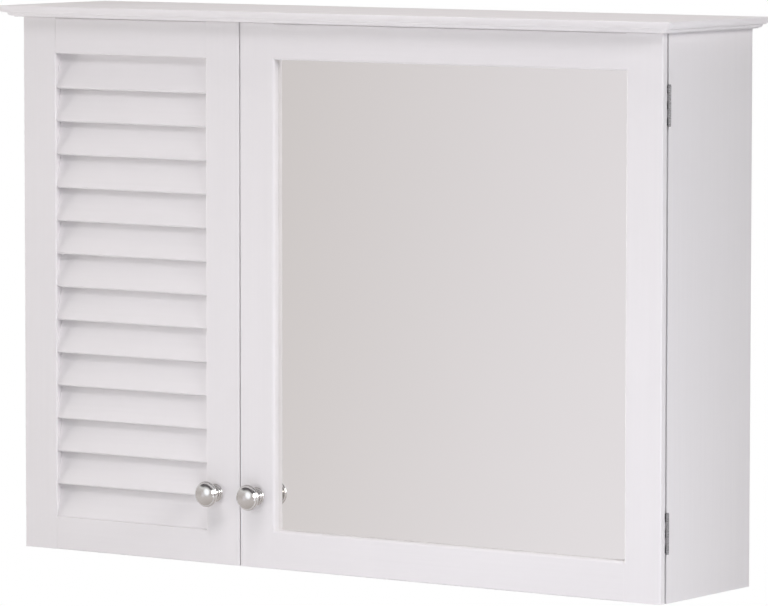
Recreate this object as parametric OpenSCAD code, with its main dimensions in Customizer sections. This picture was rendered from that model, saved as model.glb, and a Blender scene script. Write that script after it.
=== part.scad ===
// Wall-hung bathroom cabinet with a louvred door and a mirror door, in millimetres.
// X runs to the right, Y runs back to the wall at y = 0, and Z runs up from the bottom edge.
// The origin is on the wall plane, at the middle of the width and the bottom edge.

/* [Carcass] */
// Outside width across the two sides
body_w = 708; // [620:2:860]
// Height of the sides, from the bottom edge to the crown
body_h = 501; // [480:1:620]
// Depth of the sides, from the wall to their front edges
body_d = 140.5; // [132:0.5:200]
// Thickness of the sides, top, bottom and partition
board_t = 15; // [14:0.5:19]
// Thickness of the back sheet
back_t = 3; // [2.5:0.5:5]
// Width of the rebate in each side that takes the back sheet
back_lap = 8; // [6:0.5:10]
// Clearance between pieces that slide together
fit_gap = 0.1; // [0.05:0.05:0.3]

/* [Crown] */
// Thickness of the moulded crown board
crown_t = 10.5; // [10:0.5:16]
// Overhang of the crown past each side and past the door fronts
crown_over = 17.8; // [15:0.1:30]
// Radius of the quarter round under the crown's top edge
nose_r = 6.1; // [4:0.1:6.5]
// Small round on the crown's top edge
nose_top_r = 0.6; // [0.3:0.1:1]
// Flat step between the two rounds of the crown
crown_step = 1; // [0.5:0.1:2]
// Radius of the lower round of the crown
ovolo_r = 2.9; // [2:0.1:3.3]
// Flat fillet inside the lower round
crown_fillet = 1.7; // [1:0.1:3]

/* [Doors] */
// Width of the louvred door
louvre_door_w = 251; // [200:1:300]
// Clear line between the two doors
meeting_gap = 1; // [0.8:0.1:3]
// Gap between the doors and the crown
door_top_gap = 0.5; // [0.4:0.1:3]
// Gap between the front edges of the carcass and the doors, for the hinge leaves
door_gap = 2.8; // [2.8:0.1:4]
// Full thickness of the door frames
door_t = 15; // [14:0.5:19]
// Thickness of the lip that laps over the carcass
lip_t = 6.7; // [6.5:0.1:8]
// Clearance around the part of each door that stands inside the carcass
door_play = 2; // [1.5:0.1:3]
// Width of the louvred door's stiles
louvre_stile_w = 38; // [34:0.5:50]
// Width of the mirror door's stiles
mirror_stile_w = 38.4; // [36:0.1:50]
// Height of the louvred door's bottom rail
louvre_bottom_rail_h = 31.2; // [30:0.1:50]
// Height of the louvred door's top rail
louvre_top_rail_h = 33.2; // [31:0.1:50]
// Height of the mirror door's bottom rail
mirror_bottom_rail_h = 35.7; // [32:0.1:50]
// Height of the mirror door's top rail
mirror_top_rail_h = 33.2; // [31.5:0.1:50]
// Round on the outer front edges of the door frames
frame_outer_r = 1.3; // [0.5:0.1:2]
// Round along the inner edges of the louvre door's frame
louvre_frame_r = 1.2; // [0.3:0.1:2]
// Round along the inner edges of the mirror door's frame
mirror_frame_r = 2.4; // [0.3:0.1:2.6]
// Length of the tongues on the rails
tongue_l = 10; // [6:0.5:14]
// Thickness of the tongues on the rails
tongue_t = 3; // [2:0.1:3.2]
// Depth of the tongues behind the front face
tongue_y = 2.8; // [2.7:0.1:3]

/* [Louvres] */
// Number of slats
slat_count = 14; // [8:1:14]
// How far the lowest slat runs down behind the top of the bottom rail
slat_tuck = 0.2; // [0.2:0.1:4]
// Distance from the slats' top line up to the top rail
slat_head_gap = 1.2; // [0:0.1:4]
// Thickness of a slat
slat_t = 5.5; // [4:0.1:5.5]
// How far each slat laps up behind the one above it
slat_lap = 3; // [2:0.1:4]
// How far a slat leans back from one slat's edge to the next
slat_lean_back = 7.4; // [6.5:0.1:7.5]
// Setting of the slats' lower edges behind the front face
slat_set_back = 1; // [0.9:0.1:1.2]
// Round along the slats' long edges
slat_edge_r = 1.6; // [0.5:0.1:1.8]
// Depth of the housings for the slat ends in the stiles
slat_house_d = 5; // [3:0.5:8]

/* [Mirror] */
// Depth of the glass behind the door front
glass_set_back = 7.2; // [6:0.1:8]
// Thickness of the mirror glass
glass_t = 4; // [3:0.5:4]
// Lap of the glass behind the frame
glass_lap = 7.5; // [5:0.5:7.5]
// Size of a retaining clip across the edge of the glass
clip_l = 13.5; // [12:0.5:14]
// Width of a retaining clip along the edge of the glass
clip_w = 10; // [8:0.5:14]
// Thickness of a retaining clip
clip_t = 1.2; // [0.8:0.1:1.3]

/* [Knobs] */
// Height of the knob centres above the bottom edge
knob_z = 66.1; // [55:0.1:120]
// Distance of the louvred door's knob from the meeting edge
louvre_knob_in = 27; // [20:0.5:28]
// Distance of the mirror door's knob from the meeting edge
mirror_knob_in = 19.1; // [15:0.1:20]
// Diameter of the knob head
knob_head_d = 24; // [20:0.5:30]
// Diameter of the knob base
knob_base_d = 17; // [14:0.5:20]
// Diameter of the knob neck
knob_neck_d = 9.5; // [7:0.5:12]
// Distance from the door to the front of the knob's rim
knob_rim_h = 16.3; // [13:0.1:20]
// Height of the dome on the knob head
knob_dome_h = 6.2; // [4:0.1:9]

/* [Hinges] */
// Height of a hinge
hinge_h = 35; // [30:1:50]
// Distance of each hinge from the nearer end of the door
hinge_in = 45; // [30:1:100]
// Distance of the hinge axis outside the side's outer face
hinge_out = 1.75; // [1.7:0.05:3]
// Radius of the hinge barrel
knuckle_r = 1.5; // [1.4:0.05:1.75]
// Radius of the hinge pin
hinge_pin_r = 0.85; // [0.8:0.05:1.1]
// Running clearance of the hinge pin, on the radius
pin_play = 0.05; // [0.02:0.01:0.1]
// Thickness of a hinge leaf
leaf_t = 1.1; // [0.8:0.1:1.1]
// Width of a hinge leaf from the axis
leaf_w = 15; // [13:0.5:15.5]

/* [Inside] */
// Thickness of a shelf
shelf_t = 12; // [10:0.5:16]
// Depth of a shelf
shelf_d = 121; // [100:1:121]
// Height of the lower shelves above the bottom edge
shelf_low_z = 170; // [150:1:180]
// Height of the upper shelves above the bottom edge
shelf_high_z = 330; // [310:1:340]
// End clearance of a shelf
shelf_play = 1; // [0.5:0.1:1]
// Step between the holes for the shelf pins
pin_hole_step = 32; // [25:1:32]
// Radius of a shelf pin
shelf_pin_r = 2.5; // [2:0.1:3]
// Depth of a shelf pin hole
pin_hole_d = 6.5; // [5:0.5:6.5]
// Height of the hanging rail
rail_h = 60; // [50:1:80]
// Distance between the two wall screws
wall_hole_span = 520; // [400:5:560]
// Diameter of the wall screw holes
wall_hole_d = 5.5; // [4.5:0.5:7]
// Width of a magnetic catch out from the partition
catch_w = 15; // [14:0.5:16]
// Length of a magnetic catch from front to back
catch_d = 22; // [18:1:26]
// Height of a magnetic catch body
catch_h = 30; // [26:1:34]
// Height of the catch centres above the bottom edge
catch_z = 250; // [240:1:260]
// Diameter of the door bumpers
bumper_d = 5; // [4:0.5:6]

/* [Fixings] */
// Radius of the wood screws in the hinges, clips and catches
small_screw_r = 1.25; // [1:0.05:1.3]
// Radius of the small wood screws' heads
small_head_r = 2.3; // [2:0.1:2.4]
// Radius of the carcass screws
carcass_screw_r = 2; // [1.5:0.1:2.5]
// Length of the screws from the top and bottom into the partition and rail
carcass_screw_l = 40; // [30:1:50]
// Length of the screws from the top panel into the crown
crown_screw_l = 21; // [18:0.5:23]
// Radius of a cam
cam_r = 6; // [5:0.5:7.5]
// Thickness of a cam over the hole that takes its bolt
cam_over = 1; // [0.6:0.1:1.6]
// Distance from the side's inner face to the cam centre
cam_in = 24; // [20:1:34]
// Radius of the cam bolts
cam_bolt_r = 2.5; // [2:0.1:3]
// Depth of the cam bolts in the sides
cam_bolt_d = 10; // [8:0.5:11]

/* [Hidden] */
$fn = 48;

half_w = body_w / 2;
inner_half_w = half_w - board_t;
top_z = body_h - board_t;
lip_back_y = -(body_d + door_gap);
front_y = lip_back_y - lip_t;
door_back_y = front_y + door_t;
door_h = body_h - door_top_gap;
mirror_door_w = body_w - louvre_door_w - meeting_gap;
partition_x = -half_w + louvre_door_w + meeting_gap / 2;
partition_x0 = partition_x - board_t / 2;
partition_x1 = partition_x + board_t / 2;

// Each door's thick part stands inside the carcass, inset from the lip by these amounts
hinge_inset = board_t + door_play;
latch_inset = (board_t - meeting_gap) / 2 + door_play;
thick_z0 = board_t + door_play;
thick_z1 = top_z - door_play;

// Arc of the frames' inner rounds as shares of the round's size. It meets both faces at a
// slight angle.
arc_r = 1.2083;
arc_in = (1 + sqrt(2 * arc_r * arc_r - 1)) / 2;
arc_reach = 1.08;

louvre_z0 = louvre_bottom_rail_h;
louvre_z1 = door_h - louvre_top_rail_h;
mirror_z0 = mirror_bottom_rail_h;
mirror_z1 = door_h - mirror_top_rail_h;
tongue_in = 6;

// The slats divide the height between the foot of the lowest and the top rail
slat_foot_z = louvre_z0 - slat_tuck;
slat_pitch = (louvre_z1 - slat_head_gap - slat_foot_z) / slat_count;
slat_lean = atan(slat_lean_back / slat_pitch);
slat_h = (slat_pitch + slat_lap) / cos(slat_lean);
slat_x0 = louvre_stile_w - slat_house_d;
slat_l = louvre_door_w - 2 * slat_x0;

// The lowest slat runs on by this much below its foot and is cut flat above the bottom rail
lowest_run_on = 2 * slat_edge_r;

// The glass lies in a pocket cut from behind, with a backing that fills the rest of its depth
pocket_gap = 0.5;
glass_x0 = mirror_stile_w - glass_lap;
glass_z0 = mirror_z0 - glass_lap;
glass_w = mirror_door_w - 2 * glass_x0;
glass_h = mirror_z1 - mirror_z0 + 2 * glass_lap;
backing_y = glass_set_back + glass_t + 2 * fit_gap;
backing_t = door_t - backing_y - fit_gap;
clip_on_frame = 7.4;
clip_screw_in = 4;
clip_screw_l = 9;
clip_shares_x = [0.2, 0.5, 0.8];
clip_shares_z = [0.25, 0.75];

hinge_x = half_w + hinge_out;
hinge_y = -(body_d + door_gap / 2);
leaf_gap = door_gap - 2 * leaf_t;
knuckle_count = 5;
knuckle_gap = 0.3;
knuckle_l = hinge_h / knuckle_count;
hinge_zs = [hinge_in, door_h - hinge_in - hinge_h];
hinge_names = ["lower", "upper"];
leaf_screw_x = 8.5;
leaf_screw_in = 6;
fixed_leaf_screw_l = 14;
door_leaf_screw_l = lip_t - 0.7;
pin_head_h = 0.9;
pin_head_in = 0.2;

shelf_zs = [shelf_low_z, shelf_high_z];
shelf_back_y = -(back_t + 1);
pin_back_in = 25;
pin_front_in = 20;
pin_ys = [shelf_back_y - pin_back_in, shelf_back_y - shelf_d + pin_front_in];
pin_tab = [8, 7, 2];
pin_collar_t = 0.8;
pin_collar_out = 0.8;
pin_end_gap = 0.5;

// Cams and carcass screws, placed from the back sheet and from the front edges
rail_y0 = -(back_t + board_t);
rail_z0 = top_z - rail_h;
wall_hole_z = rail_z0 + rail_h / 2;
cam_back_in = 30;
cam_front_in = 32;
cam_ys = [-back_t - cam_back_in, -body_d + cam_front_in];
cam_slot_w = 1.2;
cam_slot_l = 7.2;
bolt_room = 0.4;
bolt_end_gap = 0.5;
cam_t = board_t / 2 + cam_bolt_r + bolt_room + cam_over;
screw_head_h = 2.4;
screw_back_in = 45;
screw_front_in = 40;
partition_screw_ys = [-back_t - screw_back_in, -body_d + screw_front_in];
crown_screw_end_in = 60;
crown_screw_mid_x = 40;
crown_screw_xs = [-inner_half_w + crown_screw_end_in, crown_screw_mid_x,
                  inner_half_w - crown_screw_end_in];
crown_screw_back_in = 50;
crown_screw_front_in = 25;
crown_screw_ys = [-back_t - crown_screw_back_in, -body_d + crown_screw_front_in];
rail_screw_end_in = 90;
rail_screw_xs = [-inner_half_w + rail_screw_end_in, inner_half_w - rail_screw_end_in];

// Catches, with their magnets just short of the strike plates on the doors
magnet_gap = 0.3;
magnet_proud = 0.5;
magnet = [8, 12, 22];
strike_t = 1;
strike_w = 11.4;
strike_h = 30;
strike_in = 0.4;
strike_screw_l = 9;
strike_screw_dz = 8.8;
catch_front_y = door_back_y + strike_t + magnet_gap + magnet_proud;
catch_ear_h = 8;
catch_ear_t = 3;
catch_ear_w = 10;
catch_screw_l = 8.5;
catch_screw_dz = (catch_h + catch_ear_h) / 2;
bumper_seat = 0.3;
bumper_zs = [board_t / 2, body_h - board_t / 2];

knob_base_h = 2.2;
knob_ring_h = 1.3;
knob_ring_in = 1.9;
knob_bead_r = 1.4;
knob_dome_in = 1.2;
knob_screw_r = 2;
knob_screw_head_r = 4;
knob_screw_head_h = 2.2;
knob_thread_d = 8.5;
knob_thread_gap = 0.5;

// How far a cutting shape runs past the surface that it opens
past = 1;

white = "#e6e4e5";
inside_white = "#dddbd9";
chrome = "#c9cacc";
steel = "#a5a6a8";
back_white = "#cfccc6";
clear_plastic = "#e8e8e4";

door_names = ["louvre", "mirror"];
function two_digits(n) = n < 10 ? str("0", n) : str(n);
function slat_name(n) = str("slat_", two_digits(n));
function leaf_name(door, level, kind) = str(door, "_hinge_", level, "_", kind, "_leaf");

// Extrudes a section drawn as (y, z) along X
module along_x(length) rotate([90, 0, 90]) linear_extrude(length) children();

// Extrudes a section drawn as (x, z) along -Y, starting from y = 0
module along_front(length) rotate([90, 0, 0]) linear_extrude(length) children();

// Swaps the two axes of a flat shape
module swap_axes() mirror([1, -1, 0]) children();

// Places a door drawn from its hinge edge at x = 0 and its front face at y = 0
module on_louvre_door() translate([-half_w, front_y, 0]) children();
module on_mirror_door() translate([half_w, front_y, 0]) mirror([1, 0, 0]) children();

// Wood screw with its head's top at the origin and its shank down -Z
module wood_screw(shank_r, head_r, head_depth, length) {
    cross_w = head_r * 0.28;
    cross_l = head_r * 1.2;
    cross_d = head_depth * 0.6;
    point_r = 0.2;
    difference() {
        union() {
            translate([0, 0, -head_depth]) cylinder(r1 = shank_r, r2 = head_r, h = head_depth);
            translate([0, 0, -length + shank_r]) cylinder(r = shank_r, h = length - shank_r);
            translate([0, 0, -length]) cylinder(r1 = point_r, r2 = shank_r, h = shank_r);
        }
        for (turn = [0, 90])
            rotate(turn) translate([-cross_l / 2, -cross_w / 2, -cross_d])
                cube([cross_l, cross_w, head_depth]);
    }
}

// The space that a wood screw takes, with clearance all round and open above its head
module screw_space(shank_r, head_r, head_depth, length) {
    translate([0, 0, -head_depth - fit_gap])
        cylinder(r1 = shank_r + fit_gap, r2 = head_r + fit_gap, h = head_depth);
    translate([0, 0, -fit_gap - 0.01]) cylinder(r = head_r + fit_gap, h = fit_gap + past);
    translate([0, 0, -length - fit_gap]) cylinder(r = shank_r + fit_gap, h = length);
}

module small_screw(length) wood_screw(small_screw_r, small_head_r, leaf_t, length);
module small_screw_space(length) screw_space(small_screw_r, small_head_r, leaf_t, length);
module carcass_screw(length)
    wood_screw(carcass_screw_r, carcass_screw_r * 2, screw_head_h, length);
module carcass_screw_space(length)
    screw_space(carcass_screw_r, carcass_screw_r * 2, screw_head_h, length);

// Places its children at each hole for the shelf pins in one face, pointing along +X
module at_pin_holes()
    for (shelf_z = shelf_zs) for (step = [-1 : 1]) for (y = pin_ys)
        translate([0, y, shelf_z - pin_tab[2] / 2 + step * pin_hole_step])
            rotate([0, 90, 0]) children();

module pin_holes() at_pin_holes()
    translate([0, 0, -pin_hole_d]) cylinder(r = shelf_pin_r + pin_play, h = pin_hole_d + past);

// Cam joints between one side and the ends of the top and bottom panels, for the side at -X
module at_cam_joints()
    for (y = cam_ys) for (level = [0, 1])
        translate([-inner_half_w, y, level == 0 ? board_t / 2 : body_h - board_t / 2])
            mirror([0, 0, level]) children();

module cam_bolt_space() {
    translate([-cam_bolt_d - fit_gap, 0, 0]) rotate([0, 90, 0])
        cylinder(r = cam_bolt_r + fit_gap, h = cam_bolt_d + fit_gap + cam_in);
}

module cam_space() translate([cam_in, 0, -board_t / 2 - past])
    cylinder(r = cam_r + fit_gap, h = cam_t + past + fit_gap);

// The side at -X, with its rebate, pin holes, cam bolt holes and hinge screw holes
module side_board() {
    difference() {
        translate([-half_w, -body_d, 0]) cube([board_t, body_d, body_h]);
        translate([-inner_half_w - back_lap, -back_t, -past])
            cube([back_lap + past, back_t + past, body_h + 2 * past]);
        translate([-inner_half_w, 0, 0]) pin_holes();
        at_cam_joints() cam_bolt_space();
        mirror([1, 0, 0]) at_fixed_leaf_screws() small_screw_space(fixed_leaf_screw_l);
    }
}

module side_left() color(white) side_board();
module side_right() color(white) mirror([1, 0, 0]) side_board();

// One flat panel between the sides, with cam pockets and screw holes
module level_panel(z) translate([-inner_half_w, -body_d, z])
    cube([2 * inner_half_w, body_d - back_t, board_t]);

module both_ends() {
    children();
    mirror([1, 0, 0]) children();
}

module at_partition_screws()
    for (y = partition_screw_ys) {
        translate([partition_x, y, 0]) mirror([0, 0, 1]) children();
        translate([partition_x, y, body_h]) children();
    }

module at_rail_screws()
    for (x = rail_screw_xs) translate([x, rail_y0 + board_t / 2, body_h]) children();

module at_crown_screws()
    for (x = crown_screw_xs) for (y = crown_screw_ys)
        translate([x, y, top_z]) mirror([0, 0, 1]) children();

module bottom_panel() color(white) difference() {
    level_panel(0);
    both_ends() at_cam_joints() {
        cam_bolt_space();
        cam_space();
    }
    at_partition_screws() carcass_screw_space(carcass_screw_l);
}

module top_panel() color(white) difference() {
    level_panel(top_z);
    both_ends() at_cam_joints() {
        cam_bolt_space();
        cam_space();
    }
    at_partition_screws() carcass_screw_space(carcass_screw_l);
    at_rail_screws() carcass_screw_space(carcass_screw_l);
    at_crown_screws() carcass_screw_space(crown_screw_l);
}

module centre_partition() color(inside_white) difference() {
    translate([partition_x0, -body_d, board_t])
        cube([board_t, body_d - back_t, top_z - board_t]);
    translate([partition_x0 - past, rail_y0 - fit_gap, rail_z0 - fit_gap])
        cube([board_t + 2 * past, board_t + fit_gap + past, rail_h + fit_gap + past]);
    for (side = [0, 1]) translate([partition_x, 0, 0]) mirror([side, 0, 0])
        translate([-board_t / 2, 0, 0]) mirror([1, 0, 0]) pin_holes();
    at_partition_screws() carcass_screw_space(carcass_screw_l);
    at_catch_screws() small_screw_space(catch_screw_l);
}

module at_wall_holes()
    for (side = [-1, 1]) translate([side * wall_hole_span / 2, 0, wall_hole_z])
        rotate([90, 0, 0]) children();

module wall_hole() translate([0, 0, -past])
    cylinder(d = wall_hole_d, h = back_t + board_t + 2 * past);

module back_panel() color(back_white) difference() {
    translate([-inner_half_w - back_lap + fit_gap, -back_t, 0])
        cube([2 * (inner_half_w + back_lap - fit_gap), back_t, body_h]);
    at_wall_holes() wall_hole();
}

module hanging_rail() color(inside_white) difference() {
    translate([-inner_half_w, rail_y0, rail_z0]) cube([2 * inner_half_w, board_t, rail_h]);
    at_wall_holes() wall_hole();
    at_rail_screws() carcass_screw_space(carcass_screw_l);
}

// Quarter disc of radius r below and outside its centre, which lies at (x, z)
module quarter_round(x, z, r) translate([x, z]) intersection() {
    circle(r);
    translate([0, -r]) square([r, r]);
}

// Section of the crown with its tip at x = tip and its underside at z = 0
module crown_section(tip) {
    round_z = crown_t - nose_top_r;
    step_z = round_z - nose_r;
    fillet_z = step_z - ovolo_r;
    ovolo_x = tip - nose_r - crown_step - ovolo_r;
    translate([0, round_z]) square([tip - nose_top_r, nose_top_r]);
    translate([tip - nose_top_r, round_z]) intersection() {
        circle(nose_top_r);
        square(nose_top_r);
    }
    translate([0, step_z]) square([tip - nose_r, nose_r]);
    quarter_round(tip - nose_r, round_z, nose_r);
    translate([0, fillet_z]) square([ovolo_x, ovolo_r]);
    quarter_round(ovolo_x, step_z, ovolo_r);
    square([ovolo_x - crown_fillet, fillet_z]);
}

module crown_top() color(white) translate([0, 0, body_h]) difference() {
    tip_x = half_w + crown_over;
    tip_y = -front_y + crown_over;
    intersection() {
        translate([-tip_x, 0, 0]) along_x(2 * tip_x) mirror([1, 0, 0]) crown_section(tip_y);
        along_front(tip_y) {
            crown_section(tip_x);
            mirror([1, 0, 0]) crown_section(tip_x);
        }
    }
    translate([0, 0, -body_h]) at_crown_screws() carcass_screw_space(crown_screw_l);
}

module shelf(x0, x1, z) color(inside_white)
    translate([x0 + shelf_play, shelf_back_y - shelf_d, z])
        cube([x1 - x0 - 2 * shelf_play, shelf_d, shelf_t]);

// One pin: a plug in the hole, a collar against the face and a flat tab under the shelf
module shelf_pin() {
    rotate([0, 90, 0]) translate([0, 0, -pin_hole_d + pin_end_gap])
        cylinder(r = shelf_pin_r, h = pin_hole_d - pin_end_gap + pin_collar_t);
    rotate([0, 90, 0]) cylinder(r = shelf_pin_r + pin_collar_out, h = pin_collar_t);
    translate([0, -pin_tab[1] / 2, -pin_tab[2] / 2]) cube(pin_tab);
}

module shelf_pins() color(clear_plastic)
    for (z = shelf_zs) for (y = pin_ys) {
        tab_z = z - pin_tab[2] / 2;
        for (x = [-inner_half_w, partition_x1]) translate([x, y, tab_z]) shelf_pin();
        for (x = [partition_x0, inner_half_w])
            translate([x, y, tab_z]) mirror([1, 0, 0]) shelf_pin();
    }

// One cam in its pocket and the bolt that it draws in from the side
module cam_fitting() {
    difference() {
        translate([cam_in, 0, -board_t / 2]) cylinder(r = cam_r, h = cam_t);
        translate([cam_in - cam_r - past, 0, 0]) rotate([0, 90, 0])
            cylinder(r = cam_bolt_r + bolt_room, h = cam_r + past + bolt_end_gap);
        translate([cam_in - cam_slot_l / 2, -cam_slot_w / 2, -board_t / 2 - past])
            cube([cam_slot_l, cam_slot_w, cam_slot_w + past]);
    }
    translate([-cam_bolt_d, 0, 0]) rotate([0, 90, 0])
        cylinder(r = cam_bolt_r, h = cam_bolt_d + cam_in - bolt_end_gap);
}

module cam_fittings() color(steel) both_ends() at_cam_joints() cam_fitting();

module carcass_screws() color(steel) {
    at_partition_screws() carcass_screw(carcass_screw_l);
    at_rail_screws() carcass_screw(carcass_screw_l);
    at_crown_screws() carcass_screw(crown_screw_l);
}

// Magnetic catches on both faces of the partition
module at_catches()
    for (side = [0, 1]) translate([partition_x, catch_front_y, catch_z])
        mirror([side, 0, 0]) translate([board_t / 2, 0, 0]) children();

// Screw places on a catch, which stands on the face x = 0 with its front at y = 0
module at_ear_screws()
    for (end = [-1, 1]) translate([catch_ear_t, catch_d / 2, end * catch_screw_dz])
        rotate([0, 90, 0]) children();

module at_catch_screws() at_catches() at_ear_screws() children();

module magnet_block(grow) translate([catch_w / 2, 0, 0])
    translate([-magnet[0] / 2 - grow, -magnet_proud, -magnet[2] / 2 - grow])
        cube([magnet[0] + 2 * grow, magnet[1] + magnet_proud + grow, magnet[2] + 2 * grow]);

module catch_body() difference() {
    union() {
        translate([0, 0, -catch_h / 2]) cube([catch_w, catch_d, catch_h]);
        translate([0, (catch_d - catch_ear_w) / 2, -catch_h / 2 - catch_ear_h])
            cube([catch_ear_t, catch_ear_w, catch_h + 2 * catch_ear_h]);
    }
    magnet_block(fit_gap);
    at_ear_screws() small_screw_space(catch_screw_l);
}

module catch_louvre() color(white)
    translate([partition_x0, catch_front_y, catch_z]) mirror([1, 0, 0]) catch_body();
module catch_mirror() color(white)
    translate([partition_x1, catch_front_y, catch_z]) catch_body();
module catch_magnets() color(steel) at_catches() magnet_block(0);

module door_bumpers() color(clear_plastic)
    for (z = bumper_zs) for (side = [-1, 1])
        translate([partition_x + side * board_t / 4, -body_d, z]) rotate([90, 0, 0])
            cylinder(d = bumper_d, h = door_gap - bumper_seat);

// Hinges are drawn for the side at +X, about the axis at x = 0, y = 0, from z = 0 up
module at_hinge(door, level) mirror([door == "louvre" ? 1 : 0, 0, 0])
    translate([hinge_x, hinge_y, hinge_zs[level == "lower" ? 0 : 1]]) children();

module at_leaf_screws(face_y)
    for (z = [leaf_screw_in, hinge_h - leaf_screw_in])
        translate([-leaf_screw_x, face_y, z]) rotate([90, 0, 0]) children();

// Screw places of both fixed leaves on the side at +X
module at_fixed_leaf_screws()
    for (level = hinge_names) at_hinge("mirror", level) at_leaf_screws(leaf_gap / 2) children();

// A leaf behind the axis, with the knuckles numbered from first, every second one
module leaf(first) difference() {
    union() {
        for (i = [first : 2 : knuckle_count - 1])
            translate([0, 0, i * knuckle_l + knuckle_gap / 2])
                cylinder(r = knuckle_r, h = knuckle_l - knuckle_gap);
        difference() {
            translate([-leaf_w, leaf_gap / 2, 0]) cube([leaf_w, leaf_t, hinge_h]);
            for (i = [1 - first : 2 : knuckle_count - 1])
                translate([-knuckle_r - knuckle_gap, 0, i * knuckle_l - knuckle_gap / 2])
                    cube([knuckle_r + knuckle_gap + past, door_gap, knuckle_l + knuckle_gap]);
        }
    }
    translate([0, 0, -past]) cylinder(r = hinge_pin_r + pin_play, h = hinge_h + 2 * past);
    at_leaf_screws(leaf_gap / 2) small_screw_space(fixed_leaf_screw_l);
}

module fixed_leaf() color(steel) leaf(0);
module door_leaf() color(steel) mirror([0, 1, 0]) leaf(1);

module hinge_pin() {
    translate([0, 0, -pin_head_h]) cylinder(r = hinge_pin_r, h = hinge_h + 2 * pin_head_h);
    for (z = [-pin_head_h, hinge_h])
        translate([0, 0, z]) cylinder(r = knuckle_r - pin_head_in, h = pin_head_h);
}

module hinge_pins() color(steel)
    for (door = door_names) for (level = hinge_names) at_hinge(door, level) hinge_pin();

module hinge_screws() color(steel) both_ends()
    at_fixed_leaf_screws() small_screw(fixed_leaf_screw_l);

// Screws of the door leaves, drawn for one door
module door_leaf_screws(door) for (level = hinge_names) at_hinge(door, level)
    mirror([0, 1, 0]) at_leaf_screws(leaf_gap / 2) small_screw(door_leaf_screw_l);
module door_leaf_screw_spaces(door) for (level = hinge_names) at_hinge(door, level)
    mirror([0, 1, 0]) at_leaf_screws(leaf_gap / 2) small_screw_space(door_leaf_screw_l);

// Waste outside a round on an edge, as (distance in from the edge, depth)
module edge_waste(r) difference() {
    translate([-past, -past]) square(past + arc_reach * r);
    translate([arc_in * r, arc_in * r]) circle(arc_r * r);
}

// Waste of an opening from p0 to p1, as (place, depth), with a round beyond each of its edges
module opening_waste(p0, p1, r) {
    translate([p0, -past]) square([p1 - p0, past + arc_reach * r]);
    translate([p0, 0]) mirror([1, 0]) edge_waste(r);
    translate([p1, 0]) edge_waste(r);
}

// Section of a frame member: a lip from the outer edge, and a thick part from the inset inwards
module frame_section(width, inset) {
    translate([frame_outer_r, 0]) square([width - frame_outer_r, lip_t]);
    translate([0, frame_outer_r]) square([frame_outer_r, lip_t - frame_outer_r]);
    translate([frame_outer_r, frame_outer_r]) intersection() {
        circle(frame_outer_r);
        translate([-frame_outer_r, -frame_outer_r]) square(frame_outer_r);
    }
    translate([inset, lip_t]) square([width - inset, door_t - lip_t]);
}

// Upright stile from its outer edge at x = 0, thick only between the carcass panels, with
// its inner edge rounded beside the opening from z0 to z1
module stile(width, inset, z0, z1, inner_r) difference() {
    linear_extrude(door_h) frame_section(width, inset);
    translate([-past, lip_t, -past]) cube([width + 2 * past, door_t, thick_z0 + past]);
    translate([-past, lip_t, thick_z1]) cube([width + 2 * past, door_t, door_h]);
    intersection() {
        linear_extrude(door_h) translate([width, 0]) mirror([1, 0]) edge_waste(inner_r);
        along_x(width + past) swap_axes() opening_waste(z0, z1, inner_r);
    }
}

// Tongues at both ends of a rail that spans from x0 to x1 and z0 to z1
module tongues(x0, x1, z0, z1, grow)
    translate([x0 - tongue_l - grow, tongue_y - grow, z0 + tongue_in - grow])
        cube([x1 - x0 + 2 * (tongue_l + grow), tongue_t + 2 * grow,
              z1 - z0 - 2 * (tongue_in - grow)]);

module rail_section(height, inset, inner_r) difference() {
    frame_section(height, inset);
    translate([height, 0]) mirror([1, 0]) edge_waste(inner_r);
}

// Rail between two stiles, with its outer edge at the bottom
module bottom_rail(door_w, stile_w, height, inner_r) {
    translate([stile_w, 0, 0]) along_x(door_w - 2 * stile_w)
        swap_axes() rail_section(height, thick_z0, inner_r);
    tongues(stile_w, door_w - stile_w, 0, height, 0);
}

module top_rail(door_w, stile_w, height, inner_r) {
    translate([stile_w, 0, door_h]) mirror([0, 0, 1]) along_x(door_w - 2 * stile_w)
        swap_axes() rail_section(height, door_h - thick_z1, inner_r);
    tongues(stile_w, door_w - stile_w, door_h - height, door_h, 0);
}

module mortises(door_w, stile_w, bottom_h, top_h) {
    tongues(stile_w, door_w - stile_w, 0, bottom_h, fit_gap);
    tongues(stile_w, door_w - stile_w, door_h - top_h, door_h, fit_gap);
}

// Section of slat k as (y, z), leaning back as it rises, grown all round for its housing
module slat_section(k, grow) {
    edge = slat_edge_r;
    low = edge - (k == 0 ? lowest_run_on : 0);
    high = slat_h - edge;
    intersection() {
        translate([slat_set_back, slat_foot_z + k * slat_pitch]) rotate(-slat_lean) {
            translate([-grow, low]) square([slat_t + 2 * grow, high - low]);
            translate([edge, low - edge - grow])
                square([slat_t - 2 * edge, high - low + 2 * (edge + grow)]);
            for (across = [edge, slat_t - edge]) for (up = [low, high])
                translate([across, up]) circle(edge + grow);
        }
        translate([-past, louvre_z0 + fit_gap - grow])
            square([door_t + 2 * past, louvre_z1 - louvre_z0 - 2 * (fit_gap - grow)]);
    }
}

module slat(n) color(white) on_louvre_door()
    translate([slat_x0, 0, 0]) along_x(slat_l) slat_section(slat_count - n, 0);

module slat_housings() for (k = [0 : slat_count - 1])
    translate([slat_x0 - fit_gap, 0, 0]) along_x(slat_l + 2 * fit_gap)
        slat_section(k, fit_gap);

module louvre_stile_cuts() {
    mortises(louvre_door_w, louvre_stile_w, louvre_bottom_rail_h, louvre_top_rail_h);
    slat_housings();
}

// Knob screw: a pan head on the back of the frame and a shank through to the knob
module at_knob(door_w, knob_in) translate([door_w - knob_in, 0, knob_z])
    rotate([90, 0, 0]) children();

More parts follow.
